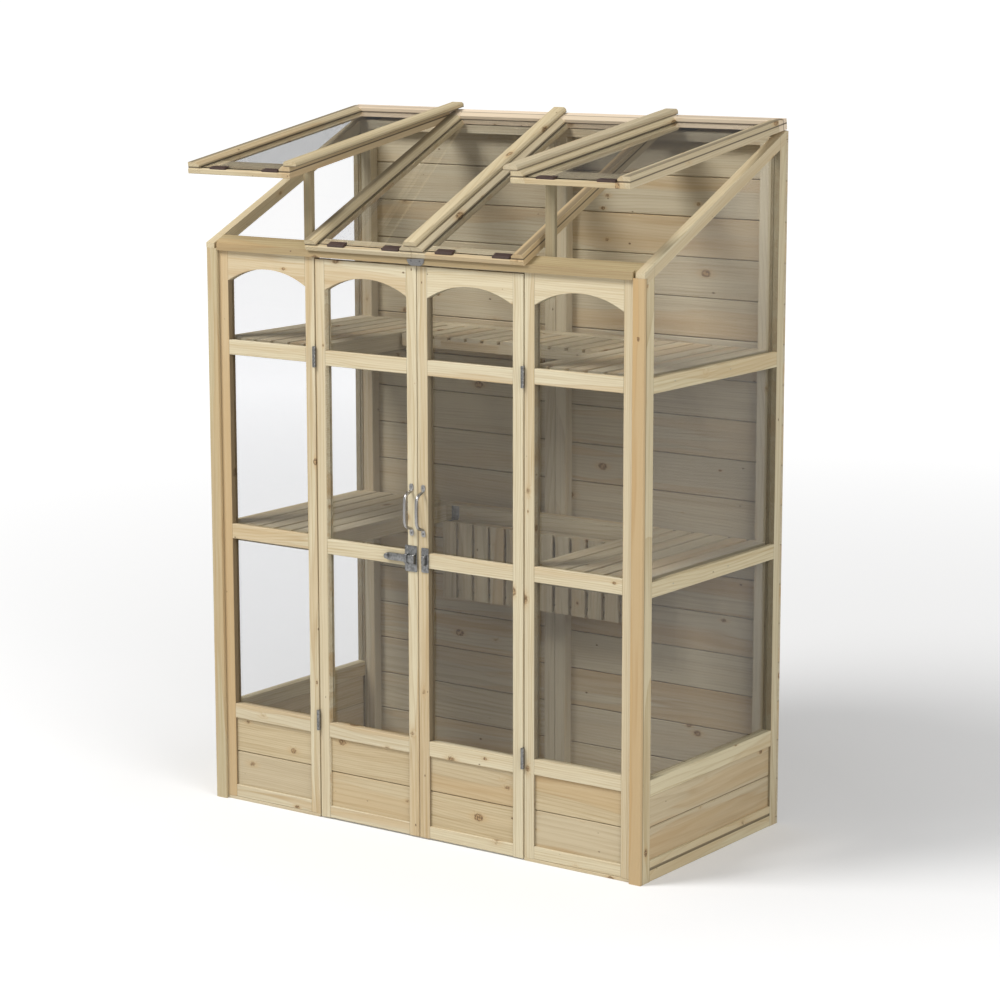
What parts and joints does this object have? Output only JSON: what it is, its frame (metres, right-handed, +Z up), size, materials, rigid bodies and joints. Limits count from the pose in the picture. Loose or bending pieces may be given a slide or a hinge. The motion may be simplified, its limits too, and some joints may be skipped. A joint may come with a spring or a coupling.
{
  "type": "lean-to mini greenhouse",
  "caption": "Tall wooden lean-to greenhouse with glazed doors and sides, a sloping roof with opening vents, and slatted shelves inside.",
  "frame": {"origin": "on the ground, midway between the open vents' front edge and the back face, centred on the width", "axes": "+Z up, +X to the right seen from the front, +Y towards the wall behind"},
  "size_m": [1.46, 0.7814, 1.9805],
  "materials": {
    "frame_pine": "planed",
    "roof_pine": "planed",
    "pine_boards": "planed",
    "shelf_pine": "planed",
    "clear_glazing": "clear",
    "satin_steel": "satin",
    "galvanised_steel": "galvanised"
  },
  "bodies": {
    "cabinet": {"left_front_frame": "frame_pine", "left_front_cladding": "pine_boards", "left_front_glazing": "clear_glazing", "left_plinth": "frame_pine", "right_front_frame": "frame_pine", "right_front_cladding": "pine_boards", "right_front_glazing": "clear_glazing", "right_plinth": "frame_pine", "left_lower_hinge": "galvanised_steel", "left_upper_hinge": "galvanised_steel", "right_lower_hinge": "galvanised_steel", "right_upper_hinge": "galvanised_steel", "header": "frame_pine", "header_plate": "galvanised_steel", "left_corner_strip": "frame_pine", "right_corner_strip": "frame_pine", "left_side_frame": "frame_pine", "left_side_cladding": "pine_boards", "left_side_glazing": "clear_glazing", "right_side_frame": "frame_pine", "right_side_cladding": "pine_boards", "right_side_glazing": "clear_glazing", "left_back_panel": "pine_boards", "right_back_panel": "pine_boards", "upper_shelf_rail": "shelf_pine", "left_upper_shelf": "shelf_pine", "right_upper_shelf": "shelf_pine", "lower_shelf_rail": "shelf_pine", "left_lower_shelf": "shelf_pine", "right_lower_shelf": "shelf_pine", "left_roof_frame": "roof_pine", "left_roof_glazing": "clear_glazing", "left_vent_outer_hinge": "galvanised_steel", "left_vent_inner_hinge": "galvanised_steel", "right_roof_frame": "roof_pine", "right_roof_glazing": "clear_glazing", "right_vent_outer_hinge": "galvanised_steel", "right_vent_inner_hinge": "galvanised_steel", "middle_cover": "frame_pine"},
    "left_door": {"left_door_frame": "frame_pine", "left_door_cladding": "pine_boards", "left_door_glazing": "clear_glazing", "left_handle": "satin_steel", "bolt_carrier": "galvanised_steel"},
    "right_door": {"right_door_frame": "frame_pine", "right_door_cladding": "pine_boards", "right_door_glazing": "clear_glazing", "right_handle": "satin_steel", "bolt_keep": "galvanised_steel"},
    "bolt": {"door_bolt": "galvanised_steel"},
    "left_vent": {"left_vent_frame": "roof_pine", "left_vent_glazing": "clear_glazing", "left_vent_cover": "frame_pine"},
    "right_vent": {"right_vent_frame": "roof_pine", "right_vent_glazing": "clear_glazing", "right_vent_cover": "frame_pine"},
    "left_prop": {"left_prop": "frame_pine"},
    "right_prop": {"right_prop": "frame_pine"},
    "upper_shelf": {"upper_centre_shelf": "shelf_pine"},
    "lower_shelf": {"lower_centre_shelf": "shelf_pine"}
  },
  "joints": [
    {"name": "left_door_swing", "type": "hinge", "parent": "cabinet", "child": "left_door", "pos_m": [-0.35, -0.3119, 0.8], "axis": [0, 0, -1], "range_deg": [0, 105]},
    {"name": "right_door_swing", "type": "hinge", "parent": "cabinet", "child": "right_door", "pos_m": [0.35, -0.3119, 0.8], "axis": [0, 0, 1], "range_deg": [0, 105]},
    {"name": "bolt_slide", "type": "slide", "parent": "left_door", "child": "bolt", "axis": [1, 0, 0], "range_m": [0, 0.034]},
    {"name": "left_vent_lift", "type": "hinge", "parent": "cabinet", "child": "left_vent", "pos_m": [-0.54825, 0.3872, 1.93522], "axis": [1, 0, 0], "range_deg": [0, 15.25]},
    {"name": "right_vent_lift", "type": "hinge", "parent": "cabinet", "child": "right_vent", "pos_m": [0.54825, 0.3872, 1.93522], "axis": [1, 0, 0], "range_deg": [0, 16.6]},
    {"name": "left_prop_hang", "type": "hinge", "parent": "left_vent", "child": "left_prop", "pos_m": [-0.4035, -0.25855, 1.81812], "axis": [1, 0, 0], "range_deg": [-15.25, 0]},
    {"name": "right_prop_hang", "type": "hinge", "parent": "right_vent", "child": "right_prop", "pos_m": [0.4035, -0.25855, 1.83374], "axis": [1, 0, 0], "range_deg": [-16.6, 0]},
    {"name": "upper_shelf_fold", "type": "hinge", "parent": "cabinet", "child": "upper_shelf", "pos_m": [0, 0.2976, 1.3005], "axis": [1, 0, 0], "range_deg": [0, 90]},
    {"name": "lower_shelf_fold", "type": "hinge", "parent": "cabinet", "child": "lower_shelf", "pos_m": [0, 0.2976, 0.7685], "axis": [-1, 0, 0], "range_deg": [0, 90]}
  ],
  "couplings": [
    {"joint": "left_prop_hang", "follows": "left_vent_lift", "ratio": -1},
    {"joint": "right_prop_hang", "follows": "right_vent_lift", "ratio": -1}
  ]
}
